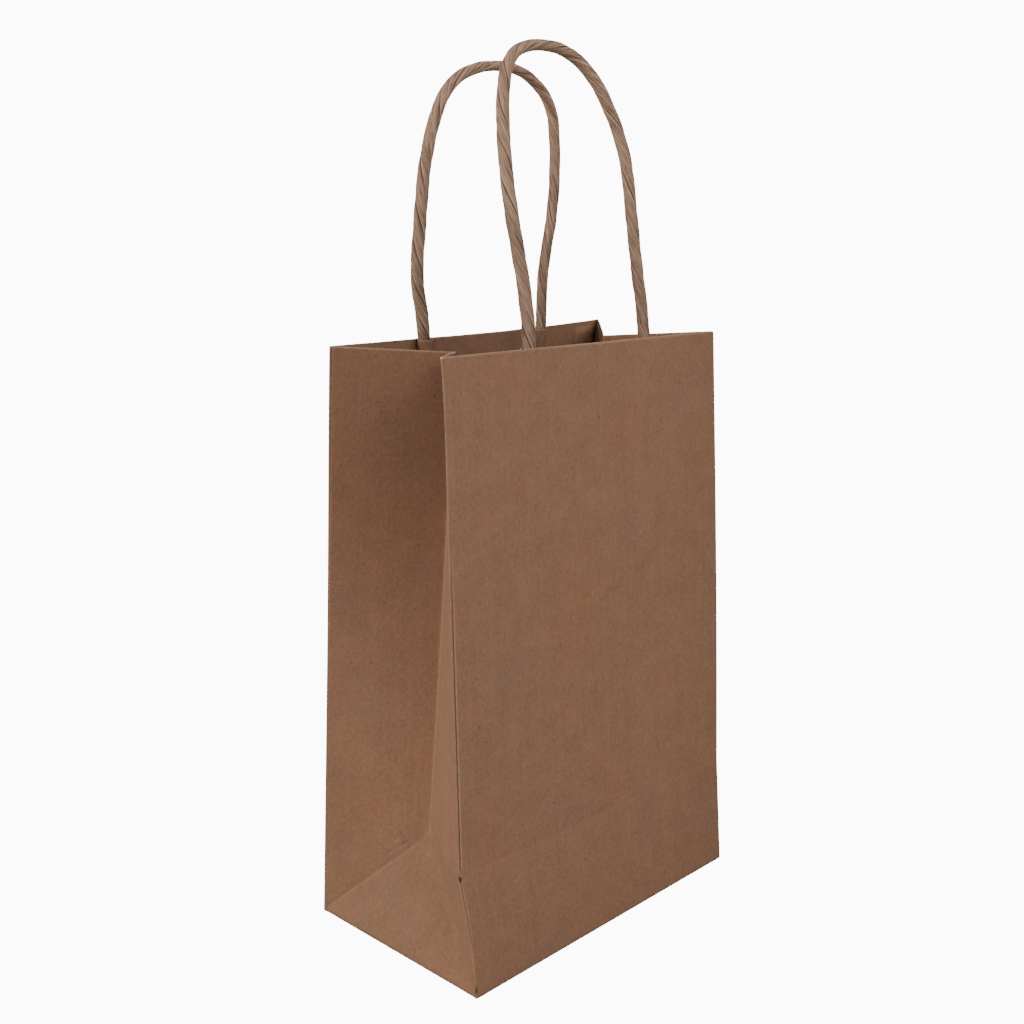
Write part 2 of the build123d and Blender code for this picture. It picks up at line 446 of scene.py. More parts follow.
def kraft(name, colour):
    maker = Maker(name)
    x, y, z = maker.parts(maker.attribute("flat", "Vector"))
    here = maker.vector(x, y, z)
    mottle = maker.cloud(here, 0.1, 4.0, 0.62)
    grain = maker.cloud(here, 0.85, 2.0, 0.6)
    fibre = maker.cloud(maker.vector(x * 0.9, y * 0.35, z), 1.1, 3.0, 0.65)
    streak = maker.cloud(maker.vector(x * 0.5, y * 0.02, z), 1.0, 2.0)
    value = 1.0 + mottle * 0.13 + grain * 0.17 + fibre * 0.14 + streak * 0.06
    tint = maker.cloud(maker.vector(x + 90, y, z), 0.03, 2.0) + maker.cloud(here, 0.14, 1.0) * 0.6
    dark_hair = hairs(maker, x, y, 11.0, 2.0, 1.6, 0.10, 0.55)
    fine_hair = hairs(maker, x, y, 5.0, 7.0, 0.9, 0.07, 0.35)
    pale_hair = hairs(maker, x, y, 7.0, 5.0, 1.5, 0.09, 0.45)
    speck = hairs(maker, x, y, 6.0, 9.0, 0.14, 0.26, 0.45)
    bold_speck = hairs(maker, x, y, 15.0, 4.0, 0.22, 0.38, 0.4)
    value = value - dark_hair * 0.26 - fine_hair * 0.16 + pale_hair * 0.12
    value = value - speck * 0.36 - bold_speck * 0.5
    # painted shade: creases, folds, pinched holes and hollows are darkened in the colour and dented in the
    # bump, and the worn pale marks fade there
    painted_shade = maker.attribute("painted_shade")
    pale = maker.attribute("pale") * (0.75 + grain * 0.35) * (1.0 - painted_shade)
    value = value * (1.0 - painted_shade * 0.88)
    warm, cool = tinted(colour, (1.055, 0.98, 0.91)), tinted(colour, (0.95, 1.01, 1.06))
    base = maker.mix((0.5 + tint * 0.5).clamped(), warm, cool)
    base = maker.scaled(base, value)
    base = maker.mix(pale.clamped(), base, tinted(colour, (1.75, 1.95, 2.1)))
    height = fibre * 0.5 + grain * 0.25 + mottle * 0.6 - painted_shade * 4.0 + pale * 0.6
    return maker.finish(base, 0.82 - pale * 0.08, height, 0.00006)


bag_paper = kraft("kraft_paper", (0.235, 0.1245, 0.0735))
patch_paper = kraft("patch_paper", (0.205, 0.108, 0.066))
cut_edge = kraft("cut_edge", (0.62, 0.44, 0.32))
patch_edge = kraft("patch_cut_edge", (0.42, 0.27, 0.19))

# %% [markdown]
# ## The front
# The front strip and the front panel are one sheet, folded round the two front corners and under
# the base. The mouth opens by bending this sheet at the flat-fold crease.

# %% The front
FRONT_WRAP = 2.4 * MM  # how far the front runs on round its corners
FOLD_LINES = (-HALF, HALF)


def on_flat(u, v):
    """A point of the unfolded paper, in millimetres."""
    return Vector((u / MM, v / MM, 0))


def side_of(u):
    return -1 if u < 0 else 1


def over_the_side(side, height):
    """Which way the paper runs once it is round a front corner."""
    if height < CREASE:
        return (apex(side) - crease_corner(side)) / CREASE
    away = centre_crease(side, height) - front_edge(side, height)
    return away.normalized()


def front_place(u, v):
    share = min(1, max(0, (u + HALF) / (2 * HALF)))
    side = side_of(u)
    body = front_edge(-1, v).lerp(front_edge(1, v), share)
    calm = ramp(HALF - abs(u), 0, 25 * MM) * ramp(v, 4 * MM, 30 * MM)
    calm *= 1 - patched(u, v)
    body.y += calm * swell(u, v, 3.1) * 0.55 * MM
    beyond = abs(u) - HALF
    if beyond > -3 * MM:
        inwards = Vector((-side, 0, 0))
        corner = front_edge(side, v)
        outwards = over_the_side(side, max(v, 0))
        body = fold(corner, inwards, outwards, beyond, CORNER_RADIUS)
        # the last of the paper goes just under the gusset's surface
        dive = ramp(beyond, 1.0 * MM, FRONT_WRAP) * 0.22 * MM
        body -= Vector((side, -0.4, 0)) * dive
    body.z -= 0.35 * MM * line(beyond, 0.9 * MM) * ramp(v, HEIGHT - 3 * MM, HEIGHT)
    return body, on_flat(u, v)


def front_mark(u, v):
    side, beyond = side_of(u), abs(u) - HALF
    rough = 0.65 + 0.35 * noise.noise(Vector((v / (7 * MM), side * 3.0, 0.5)))
    from_crease = abs(v - CREASE)
    pale = line(from_crease, 0.6 * MM) * 0.1 * (0.6 + 0.4 * noise.noise(Vector((u / (9 * MM), 1.5, 2.5))))
    # painted shade just under the flat-fold crease and along the foot, where the paper turns under
    painted_shade = line(from_crease + 0.8 * MM, 0.6 * MM) * 0.05 + line(v, 0.9 * MM) * 0.18
    rim = 0.6 + 0.5 * noise.noise(Vector((u / (14 * MM), 7.5, 0.5)))
    pale += min(1, 1.8 * line(HEIGHT - v, 0.45 * MM)) * min(1, rim + 0.2)
    # painted shade: the right of the front and the part below the crease are darkened as if less lit
    painted_shade += ramp(u, 30 * MM, HALF) * 0.07 + (1 - ramp(v, 34 * MM, 46 * MM)) * 0.05
    if side > 0:
        pale += line(beyond, 0.45 * MM) * rough * 0.25
        # painted shade in the right front fold
        painted_shade += line(beyond, 0.35 * MM) * 0.35
        return min(1, pale), min(1, painted_shade)
    above = ramp(v, CREASE + 1 * MM, CREASE + 4 * MM)
    pale += line(beyond, 0.4 * MM) * rough * (0.2 + 0.4 * ramp(v, 120 * MM, 165 * MM))
    # above the crease the fold has a lip: a fine line of painted shadow with a pale worn one beside it
    lip = above * (1 - ramp(v, 120 * MM, 165 * MM))
    painted_shade += lip * line(beyond + 0.6 * MM, 0.18 * MM) * 0.75
    pale += lip * line(beyond + 1.2 * MM, 0.3 * MM) * 0.85
    # below it a fine line of painted shade runs down beside the fold
    low = (1 - ramp(v, CREASE - 3 * MM, CREASE - 1 * MM)) * ramp(v, 16 * MM, 26 * MM)
    painted_shade += low * line(beyond + 0.1 * MM, 0.17 * MM) * 0.6
    pale += low * line(beyond + 0.7 * MM, 0.3 * MM) * 0.5
    # pinched holes at the crease's end and at the foot, drawn as spots of painted shade
    pinch = sqrt((beyond - 0.1 * MM) ** 2 + (0.9 * (v - CREASE + 0.4 * MM)) ** 2)
    painted_shade += line(pinch, 0.8 * MM) * 2.0
    pale += line(from_crease - 0.9 * MM, 0.4 * MM) * line(beyond + 0.9 * MM, 0.6 * MM) * 0.5
    foot = sqrt((beyond - 0.45 * MM) ** 2 + (0.45 * (v - 3.0 * MM)) ** 2)
    painted_shade += line(foot, 0.6 * MM) * 1.8
    return min(1, pale), min(1, painted_shade)


across_front = spaced(-HALF - FRONT_WRAP, HALF + FRONT_WRAP, 3 * MM, FOLD_LINES, 0.14 * MM, 2.5 * MM)
up_front = spaced(-TURN_UNDER, HEIGHT, 3 * MM, [0, CREASE, HEIGHT], 0.3 * MM, 1.8 * MM)
front = make_sheet("front_sheet", across_front, up_front, front_place, front_mark, bag_paper, cut_edge)

# %% [markdown]
# ## The back
# The back panel runs round the back corners and under the base. It bows in a little between the
# handle's legs.

# %% The back
BACK_WRAP = 1.3 * MM


def back_bow(u, v):
    """How far the back is pushed in, towards the front."""
    near_top = ramp(v, 95 * MM, HEIGHT)
    between = ramp(u, -25 * MM, -12 * MM) * (1 - ramp(u, 12 * MM, 25 * MM))
    outside = 1 - ramp(u, -64 * MM, -36 * MM)
    return near_top * (1.4 * between - 0.9 * outside) * MM


def back_place(u, v):
    share = min(1, max(0, (u + HALF) / (2 * HALF)))
    side = side_of(u)
    body = back_edge(-1, v).lerp(back_edge(1, v), share)
    # the rim sweeps up to the right corner
    body.z -= 1.3 * MM * (share - share**5) * ramp(v, HEIGHT - 40 * MM, HEIGHT)
    calm = ramp(HALF - abs(u), 0, 25 * MM) * ramp(v, 4 * MM, 30 * MM)
    calm *= 1 - patched(u, v)
    body.y += calm * swell(u, v, 8.7) * 0.5 * MM - back_bow(u, v)
    beyond = abs(u) - HALF
    if beyond > -1.0 * MM:
        corner = back_edge(side, v)
        corner.y -= back_bow(u, v)
        to_crease = centre_crease(side, max(v, CREASE)) - corner
        outwards = Vector((to_crease.x, to_crease.y, 0)).normalized()
        if v < 6 * MM:
            outwards = Vector((0, -1, 0)).lerp(outwards, ramp(v, 0, 6 * MM)).normalized()
        body = fold(corner, Vector((-side, 0, 0)), outwards, beyond, CORNER_RADIUS)
        body -= Vector((side, 0.4, 0)) * (ramp(beyond, 0.5 * MM, BACK_WRAP) * 0.22 * MM)
    body.z -= 0.5 * MM * ramp(beyond, 0, 1.8 * MM) * ramp(v, HEIGHT - 3 * MM, HEIGHT)
    return body, on_flat(HALF + DEPTH + HALF - u, v)


def back_mark(u, v):
    beyond = abs(u) - HALF
    pale = line(beyond, 0.4 * MM) * 0.3 + line(HEIGHT - v, 0.3 * MM) * 0.3
    # painted shade along the back's corner folds and its foot
    painted_shade = line(beyond, 0.5 * MM) * 0.15 + line(v, 0.9 * MM) * 0.15
    return pale, painted_shade


across_back = spaced(-HALF - BACK_WRAP, HALF + BACK_WRAP, 3 * MM, FOLD_LINES, 0.2 * MM, 1.6 * MM)
up_back = spaced(-TURN_UNDER, HEIGHT, 3 * MM, [0, HEIGHT], 0.3 * MM, 1.5 * MM)
back = make_sheet("back_sheet", across_back, up_back, back_place, back_mark, bag_paper, cut_edge, flip=True)

# %% [markdown]
# ## The gussets
# Each has an upper part with a crease down its middle, and a lower facet. `reach` is how far a
# point lies behind the front corner, along the paper.

# %% The gussets
FLAP = 2.4 * MM


def low_edge(reach):
    """Height of the slanting creases that the upper part starts from."""
    return CREASE if reach <= CREASE else DEPTH - reach


def upper_place(side):
    def place(reach, share):
        base = low_edge(reach)
        height = base + share * (HEIGHT - base)
        if share < 0:
            # a narrow flap behind the lower facet
            height = base + share * HEIGHT / FLAP * min(FLAP, 0.6 * base)
            tuck = Vector((-side, 0, 0.4)).normalized() * (0.3 * MM * ramp(-share * HEIGHT, 0, 0.8 * MM))
            return gusset_low(side, reach, height) + tuck, on_flat(side * (HALF + reach), height)

        def at(r):
            b = low_edge(r)
            rise = (height - b) / (HEIGHT - b)
            if r <= CREASE:
                return gusset_front(side, r, b + rise * (HEIGHT - b))
            return gusset_rear(side, r, rise)

        point = at(reach)
        near = abs(reach - CREASE)
        if near < 1.0 * MM:
            first, middle, last = at(CREASE - 1.0 * MM), at(CREASE), at(CREASE + 1.0 * MM)
            t = (reach - CREASE + 1.0 * MM) / (2.0 * MM)
            point = first * (1 - t) ** 2 + middle * (2 * t * (1 - t)) + last * t * t
        calm = ramp(share, 0, 0.12) * ramp(abs(reach - CREASE), 0, 9 * MM)
        calm *= ramp(reach, 0, 12 * MM) * ramp(DEPTH - reach, 0, 12 * MM)
        point.x += side * calm * swell(reach, height, 5.3 + side) * 0.5 * MM
        return point, on_flat(side * (HALF + reach), height)

    return place


def upper_mark(side):
    def mark(reach, share):
        base = low_edge(reach)
        height = base + share * (HEIGHT - base)
        pale = line(reach - CREASE, 0.6 * MM) * 0.22
        rise = height - base
        pale += line(rise, 0.5 * MM) * 0.12
        # painted shade just above the slanting crease
        painted_shade = line(rise - 1.2 * MM, 1.5 * MM) * 0.05
        near = sqrt((reach - CREASE) ** 2 + (height - CREASE) ** 2)
        bead = sqrt((abs(reach - CREASE) - 1.2 * MM) ** 2 + (HEIGHT - height) ** 2)
        pale += line(bead, 0.7 * MM) * 0.9
        pale += line(near, 2.5 * MM) * 0.3
        if side < 0:
            # short crumples beside the apex and near the front fold, each a pale line with a line of
            # painted shade beside it
            for behind, slope, middle in ((9 * MM, 0.55, 4 * MM), (13 * MM, 0.7, 6 * MM)):
                off = reach - CREASE - behind + slope * (rise - middle)
                pale += line(off, 0.35 * MM) * line(rise - middle, 2.6 * MM) * 0.5
                painted_shade += line(off - 0.8 * MM, 0.4 * MM) * line(rise - middle, 2.6 * MM) * 0.25
        pale += min(1, 1.6 * line(HEIGHT - height, 0.4 * MM)) * 0.8
        # painted shade: the rear half darkens towards its top, deeper in the fold
        painted_shade += ramp(height, 60 * MM, 200 * MM) * ramp(reach, CREASE, CREASE + 2 * MM) * 0.3
        return min(1, pale), min(1, painted_shade)

    return mark


def low_place(side):
    def place(reach_share, share):
        height = share * CREASE
        reach = reach_share * (DEPTH - height)
        flat = on_flat(side * (HALF + reach), height)
        if height > 0.5 * MM:
            return gusset_low(side, reach, height), flat
        start = gusset_low(side, reach_share * DEPTH, 0)
        up = gusset_low(side, reach_share * (DEPTH - 5 * MM), 5 * MM) - start
        return fold(start, Vector((-side, 0, 0)), up.normalized(), height, 0.5 * MM), flat

    return place


def low_mark(side):
    def mark(reach_share, share):
        height = share * CREASE
        reach = reach_share * (DEPTH - height)
        to_slant = (DEPTH - reach - height) * sqrt(0.5)
        pale = line(to_slant, 0.6 * MM) * 0.25 + line(CREASE - height, 0.6 * MM) * 0.1
        # painted shade along the facet's foot, and a little over the whole facet
        painted_shade = line(height, 0.9 * MM) * 0.25 + 0.06
        # painted shade in the pinched front corner
        corner = sqrt(reach**2 + (height - 2.5 * MM) ** 2)
        painted_shade += line(corner, 0.8 * MM) * (0.9 if side < 0 else 0.2)
        if side < 0:
            # a short crumple under the end of the flat-fold crease: a line of painted shade with a pale one
            # beside it
            down = CREASE - height - 3.5 * MM
            crumple = reach - 3.2 * MM + down * 0.5
            painted_shade += line(crumple, 0.4 * MM) * line(down, 2.2 * MM) * 0.4
            pale += line(crumple - 0.8 * MM, 0.4 * MM) * line(down, 2.2 * MM) * 0.3
        # painted shade in the back corner
        back = sqrt((DEPTH - reach) ** 2 + height**2)
        painted_shade += line(back, 1.2 * MM) * 0.5
        return min(1, pale), min(1, painted_shade)

    return mark


gussets = []
for side, word in ((-1, "left"), (1, "right")):
    reaches = spaced(0.6 * MM, DEPTH - 0.5 * MM, 2.5 * MM, [CREASE], 0.25 * MM, 1.5 * MM)
    shares = [s / HEIGHT for s in spaced(-FLAP, HEIGHT, 2.5 * MM, [0, HEIGHT], 0.3 * MM, 3 * MM)]
    upper = make_sheet(f"{word}_gusset_upper", reaches, shares, upper_place(side), upper_mark(side),
                       bag_paper, cut_edge, flip=side > 0)
    shares_low = [s / CREASE for s in spaced(-TURN_UNDER, CREASE, 2 * MM, [0, CREASE], 0.3 * MM, 1.5 * MM)]
    reach_shares = [s / DEPTH for s in spaced(0.5 * MM, 82.1 * MM, 2 * MM, [0, DEPTH], 0.3 * MM, 3 * MM)]
    lower = make_sheet(f"{word}_gusset_lower", reach_shares, shares_low, low_place(side), low_mark(side),
                       bag_paper, cut_edge, flip=side > 0)
    gussets.append((word, upper, lower))

# %% [markdown]
# ## Handle patches and the side seam
# Two layers of paper hold each handle. The inner one rises softly over the cords.

# %% Patches and seam
LEGS = {"front": (-27.4 * MM, 30.6 * MM), "back": (-28.5 * MM, 29.5 * MM)}
HANDLE_MIDDLE = {"front": 1.6 * MM, "back": 0.5 * MM}
PATCH_HALF, PATCH_HEIGHT = 33 * MM, 38 * MM
COVER_EDGE = 2.7 * MM  # from the left leg to the edge of the cover
COVER_RISE = 4.75 * MM
BACK_LEAN = 0.083  # the back wall's lean, as a slope
CORD = 4.5 * MM


def wall_place(word, u, down, lift):
    """A point this far down the inner face of a wall, lifted off it."""
    height = HEIGHT - down
    if word == "front":
        point, _ = front_place(u, height)
        return point + Vector((0, 1, 0)) * lift
    point, _ = back_place(u, height)
    return point - Vector((0, 1, BACK_LEAN)) * lift


def hump(word, u):
    """How far the cord lifts the cover: tight over the cord, sloping down between the legs."""
    left, right = LEGS[word]
    if u < left:
        return COVER_RISE - 1.5 * MM * ((left - u) / COVER_EDGE) ** 2
    rise = 0
    for leg, inner in ((left, 1), (right, -1)):
        away = (u - leg) * inner
        width = 3.4 * MM if away > 0 else 3.2 * MM
        power = 3.0 if away > 0 else 4.0
        rise = max(rise, COVER_RISE / (1 + (abs(away) / width) ** power))
    return rise


for word, middle in HANDLE_MIDDLE.items():
    whole = spaced(middle - PATCH_HALF, middle + PATCH_HALF, 2 * MM)
    covered = spaced(LEGS[word][0] - COVER_EDGE, middle + PATCH_HALF, 1.2 * MM, LEGS[word],
                     0.4 * MM, 7 * MM)
    rows = spaced(0.1 * MM, PATCH_HEIGHT, 2 * MM, [0], 0.4 * MM, 1 * MM)

    def backing_place(u, down, word=word):
        return wall_place(word, u, down, 1.05 * PAPER), on_flat(u + 300 * MM, down)

    def cover_place(u, down, word=word):
        ease = 1 - 0.05 * ramp(down, 22 * MM, PATCH_HEIGHT)
        crumple = 0.12 * MM * swell(u, down, 4.4, 7 * MM)
        lift = 2.15 * PAPER + hump(word, u) * ease + abs(crumple) * ramp(hump(word, u), 0, 1 * MM)
        return wall_place(word, u, down, lift), on_flat(u + 500 * MM, down)

    def patch_mark(u, down, word=word):
        near = min(abs(u - leg) for leg in LEGS[word])
        # painted shade in a band about 5.6 mm either side of each leg, where the cover meets the wall
        painted_shade = line(near - 5.6 * MM, 1.3 * MM) * 0.18
        return line(down, 0.4 * MM) * 0.2, painted_shade

    flip = word == "front"
    backing = make_sheet(f"{word}_patch_backing_sheet", whole, rows, backing_place, patch_mark,
                         patch_paper, patch_edge, flip=not flip)
    cover = make_sheet(f"{word}_patch_cover_sheet", covered, rows, cover_place, patch_mark,
                       patch_paper, patch_edge, flip=not flip)
    body = "front_wall" if word == "front" else "root"
    for piece, node in ((backing, f"{word}_patch_backing"), (cover, f"{word}_patch_cover")):
        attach(piece, body)
        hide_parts(node)


def lap_place(u, down):
    return wall_place("back", u, down, 1.05 * PAPER), on_flat(u + 700 * MM, down)


lap = make_sheet("side_seam_sheet", spaced(53.5 * MM, 65.5 * MM, 2 * MM),
                 spaced(2 * MM, HEIGHT - 2 * MM, 3 * MM), lap_place, lambda u, v: (0, 0),
                 bag_paper, patch_edge, flip=True)
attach(lap, "root")
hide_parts("side_seam_lap")

# %% [markdown]
# ## Handles
# A strip of kraft paper twisted into a cord. The cord's line is a smooth spline through a few
# chosen points; the ply grooves wind round it.

# %% Cord lines
PIVOT_RISE = 2.75 * MM  # from the rim to the place where a handle swings
LEG = 29.75 * MM  # from there down to the cord's glued end


def spline_points(pivot, middle, lean, wall_lean, route, towards):
    """The route of one handle, from the foot of one leg to the foot of the other."""
    up = Vector((0, towards * sin(lean), cos(lean)))
    down = Vector((0, -towards * sin(wall_lean), -cos(wall_lean)))
    points = [pivot + Vector((x * MM - middle, 0, 0)) + up * (h * MM - PIVOT_RISE) for x, h in route]
    first = points[0] + down * LEG
    last = points[-1] + down * LEG
    return [first] + points + [last]


FRONT_ROUTE = [(-27.4, 2.75), (-27.0, 20.8), (-28.7, 42.0), (-28.2, 64.3), (-24.4, 85.4), (-16.8, 95.2),
               (-0.9, 97.6), (11.5, 95.0), (22.8, 85.6), (31.9, 64.4), (31.0, 43.4), (30.2, 22.1),
               (30.6, 2.75)]
BACK_ROUTE = [(-28.5, 2.75), (-34.2, 20.1), (-33.5, 40.9), (-32.6, 61.5), (-26.8, 81.6), (-16.2, 90.1),
              (-0.7, 93.1), (13.4, 91.3), (26.8, 82.0), (30.4, 65.8), (31.5, 44.8), (27.9, 21.8),
              (29.5, 2.75)]
FRONT_PIVOT = Vector((1.6, -28.484, 212.301)) * MM
BACK_PIVOT = Vector((0.5, 20.667, 211.794)) * MM
# how thin the twisted strip is across the loop, as shares of its width, along each cord
FRONT_THIN = ((0, 1.0), (0.3, 0.98), (0.42, 0.88), (0.5, 0.78), (0.58, 0.86), (0.7, 0.93), (1, 0.84))
BACK_THIN = ((0, 1.0), (0.25, 1.0), (0.38, 0.88), (0.5, 0.76), (0.62, 0.78), (0.75, 0.8), (1, 0.72))


def cord_line(name, points):
    data = bpy.data.curves.new(name, "CURVE")
    data.dimensions = "3D"
    spline = data.splines.new("NURBS")
    spline.points.add(len(points) - 1)
    for slot, point in zip(spline.points, points):
        slot.co = (*point, 1)
    spline.order_u = 3
    spline.use_endpoint_u = True
    spline.resolution_u = 16
    obj = bpy.data.objects.new(name, data)
    bpy.context.scene.collection.objects.link(obj)
    return obj


def read_line(obj):
    bpy.context.view_layer.update()
    graph = bpy.context.evaluated_depsgraph_get()
    mesh = bpy.data.meshes.new_from_object(obj.evaluated_get(graph))
    return [v.co.copy() for v in mesh.vertices]


# %% [markdown]
# The cord is made with Geometry Nodes: a round section is swept along the line while it turns,
# and grooves and crinkles are pressed into it along the twist.

# %% Twisted cord
class Net:
    """Makes nodes in a geometry tree."""

    def __init__(self, name):
        self.tree = bpy.data.node_groups.new(name, "GeometryNodeTree")
        self.ids = {}
        self.tree.interface.new_socket("Geometry", in_out="OUTPUT", socket_type="NodeSocketGeometry")

    def asks(self, name, kind):
        made = self.tree.interface.new_socket(name, in_out="INPUT", socket_type=kind)
        self.ids[name] = made.identifier

    def fill(self, slot, value):
        value = getattr(value, "socket", value)
        if isinstance(value, bpy.types.NodeSocket):
            self.tree.links.new(value, slot)
        else:
            slot.default_value = value

    def make(self, kind, settings=None, inputs=()):
        node = self.tree.nodes.new(kind)
        for word, value in (settings or {}).items():
            setattr(node, word, value)
        for word, value in dict(inputs).items():
            self.fill(node.inputs[word], value)
        return node


class Term:
    """A number in a geometry tree."""

    def __init__(self, net, socket):
        self.net, self.socket = net, socket

    def maths(self, operation, other=0.0):
        node = self.net.make("ShaderNodeMath", {"operation": operation}, {0: self, 1: other})
        return Term(self.net, node.outputs[0])

    def __add__(self, other):
        return self.maths("ADD", other)

    def __sub__(self, other):
        return self.maths("SUBTRACT", other)

    def __mul__(self, other):
        return self.maths("MULTIPLY", other)

    def __rsub__(self, other):
        return (self * -1.0) + other

    __radd__, __rmul__ = __add__, __mul__

    def bell(self, width):
        """1 where the number is 0, falling away on both sides."""
        scaled = self * (1.0 / width)
        return (scaled * scaled * -1.0).maths("EXPONENT")

    def limited(self, low, high):
        node = self.net.make("ShaderNodeMapRange", {"interpolation_type": "SMOOTHSTEP"},
                             {"Value": self, "From Min": low, "From Max": high})
        return Term(self.net, node.outputs[0])


def cord_net():
    net = Net("twisted_cord")
    for name, kind in (("Line", "NodeSocketObject"), ("Diameter", "NodeSocketFloat"),
                       ("Twist", "NodeSocketFloat"), ("Seed", "NodeSocketFloat"),
                       ("Finish", "NodeSocketMaterial")):
        net.asks(name, kind)
    given = net.make("NodeGroupInput").outputs
    radius = Term(net, given["Diameter"]) * 0.5
    seed = Term(net, given["Seed"])
    guide = net.make("GeometryNodeObjectInfo", {"transform_space": "ORIGINAL"}, {"Object": given["Line"]})
    even = net.make("GeometryNodeResampleCurve", None, {"Curve": guide.outputs["Geometry"], "Count": 760})
    length = net.make("GeometryNodeSplineParameter").outputs["Length"]
    kept_length = net.make("GeometryNodeCaptureAttribute")
    kept_length.capture_items.new("FLOAT", "along")
    net.fill(kept_length.inputs["Geometry"], even.outputs["Curve"])
    net.fill(kept_length.inputs["along"], length)
    turned = net.make("GeometryNodeSetCurveTilt", None, {"Curve": kept_length.outputs["Geometry"]})
    net.fill(turned.inputs["Tilt"], Term(net, length) * Term(net, given["Twist"]) * (2 * pi))
    ring = net.make("GeometryNodeCurvePrimitiveCircle", None, {"Resolution": 72, "Radius": radius})
    factor = net.make("GeometryNodeSplineParameter").outputs["Factor"]
    kept_turn = net.make("GeometryNodeCaptureAttribute")
    kept_turn.capture_items.new("FLOAT", "around")
    net.fill(kept_turn.inputs["Geometry"], ring.outputs["Curve"])
    net.fill(kept_turn.inputs["around"], factor)
    tube = net.make("GeometryNodeCurveToMesh", None, {
        "Curve": turned.outputs["Curve"], "Profile Curve": kept_turn.outputs["Geometry"],
        "Fill Caps": True})
    along = Term(net, kept_length.outputs["along"])
    angle = Term(net, kept_turn.outputs["around"]) * (2 * pi)
    c, s = angle.maths("COSINE"), angle.maths("SINE")

    def wander(spread, stretch, shift, detail=1.0):
        """Noise that runs along the plies."""
        place = net.make("ShaderNodeCombineXYZ", None, {
            "X": c * spread + seed * 3.7, "Y": s * spread + shift, "Z": along * stretch})
        made = net.make("ShaderNodeTexNoise", None, {
            "Vector": place.outputs[0], "Scale": 1.0, "Detail": detail})
        return (Term(net, made.outputs["Fac"]) - 0.5) * 2.4

    drift = wander(0.4, 60.0, 11.0) * 0.5
    three = ((angle + drift) * 1.5).maths("SINE") * 0.6667
    strong = wander(0.7, 75.0, 4.0).limited(-0.55, 0.35)
    main_groove = three.bell(0.075) * strong
    second = ((angle + drift * 1.6 + 0.55) * 1.5).maths("SINE") * 0.6667
    some = wander(0.8, 90.0, 21.0).limited(0.05, 0.45)
    side_groove = second.bell(0.055) * some
    groove = main_groove.maths("MAXIMUM", side_groove)
    lip = ((angle + drift - 0.28) * 1.5).maths("SINE") * 0.6667
    ridge = lip.bell(0.09) * strong
    lobes = ((angle + drift) * 3.0).maths("COSINE") * -0.035
    crinkle = wander(2.6, 110.0, 31.0, 3.0) * 0.035 + wander(1.0, 160.0, 41.0) * 0.04
    lift = lobes + crinkle + ridge * 0.05 - main_groove * 0.17 - side_groove * 0.10
    normal = net.make("GeometryNodeInputNormal").outputs["Normal"]
    push = net.make("ShaderNodeVectorMath", {"operation": "SCALE"}, {0: normal, "Scale": lift * radius})
    shaped = net.make("GeometryNodeSetPosition", None, {
        "Geometry": tube.outputs["Mesh"], "Offset": push.outputs[0]})
    out = shaped.outputs["Geometry"]
    wound = net.make("ShaderNodeCombineXYZ", None, {"X": c, "Y": s, "Z": along * 1000.0 + seed * 500.0})
    for name, value in (("groove", groove), ("ridge", ridge)):
        out = net.make("GeometryNodeStoreNamedAttribute", {"data_type": "FLOAT", "domain": "POINT"},
                       {"Geometry": out, "Name": name, "Value": value}).outputs["Geometry"]
    out = net.make("GeometryNodeStoreNamedAttribute", {"data_type": "FLOAT_VECTOR", "domain": "POINT"},
                   {"Geometry": out, "Name": "wound", "Value": wound.outputs[0]}).outputs["Geometry"]
    out = net.make("GeometryNodeRealizeInstances", None, {"Geometry": out}).outputs["Geometry"]
    out = net.make("GeometryNodeSetMaterial", None, {
        "Geometry": out, "Material": given["Finish"]}).outputs["Geometry"]
    net.fill(net.make("NodeGroupOutput").inputs[0], out)
    return net


def twisted_paper():
    maker = Maker("twisted_paper")
    c, s, along = maker.parts(maker.attribute("wound", "Vector"))
    plies = maker.vector(c * 2.2, s * 2.2, along * 0.09)
    fibre = maker.cloud(maker.vector(c * 9, s * 9, along * 0.25), 1.0, 3.0, 0.6)
    tone = maker.cloud(plies, 1.0, 3.0)
    blotch = maker.cloud(maker.vector(c, s, along * 0.35), 1.0, 2.0)
    groove = maker.attribute("groove")
    ridge = maker.attribute("ridge")
    strand = maker.cloud(maker.vector(c * 3.6, s * 3.6, along * 0.05 + 40), 1.0, 2.0, 0.6)
    # thin lines along the twist are darkened as painted shade in the fine grooves between strands, and pale
    # lines (gleam) are painted highlights on the strands
    shaded_groove_line = strand.size().below(0.05, 0.1)
    gleam = (strand - 0.35).size().below(0.08, 0.2)
    value = 1.0 + fibre * 0.3 + tone * 0.26 + blotch * 0.14 - shaded_groove_line * 0.42 + gleam * 0.4
    # painted light: the cord is lighter towards the top of its loop and darker down its legs
    value = value * (0.82 + maker.attribute("high") * 0.43)
    # painted shade in the twist's grooves, and a painted highlight along the ridge beside each
    value = value * (1.0 - groove * 0.8) + ridge * 0.4
    base = maker.mix((0.5 + tone * 0.5).clamped(),
                     (0.335, 0.200, 0.130, 1), (0.315, 0.205, 0.143, 1))
    base = maker.scaled(base, value)
    return maker.finish(base, 0.8, fibre * 0.5 + tone * 0.6 - groove * 1.5 - shaded_groove_line * 1.2, 0.00014)


cord_paper = twisted_paper()
tree = cord_net()

# %% [markdown]
# Each handle is made along its own line, pressed thinner where the strip lies flat, and kept as
# one unbroken cord from glued end to glued end.

# %% Make the two handles
TWIST = -27.0  # turns a metre
LOOP_HEIGHT = 90 * MM


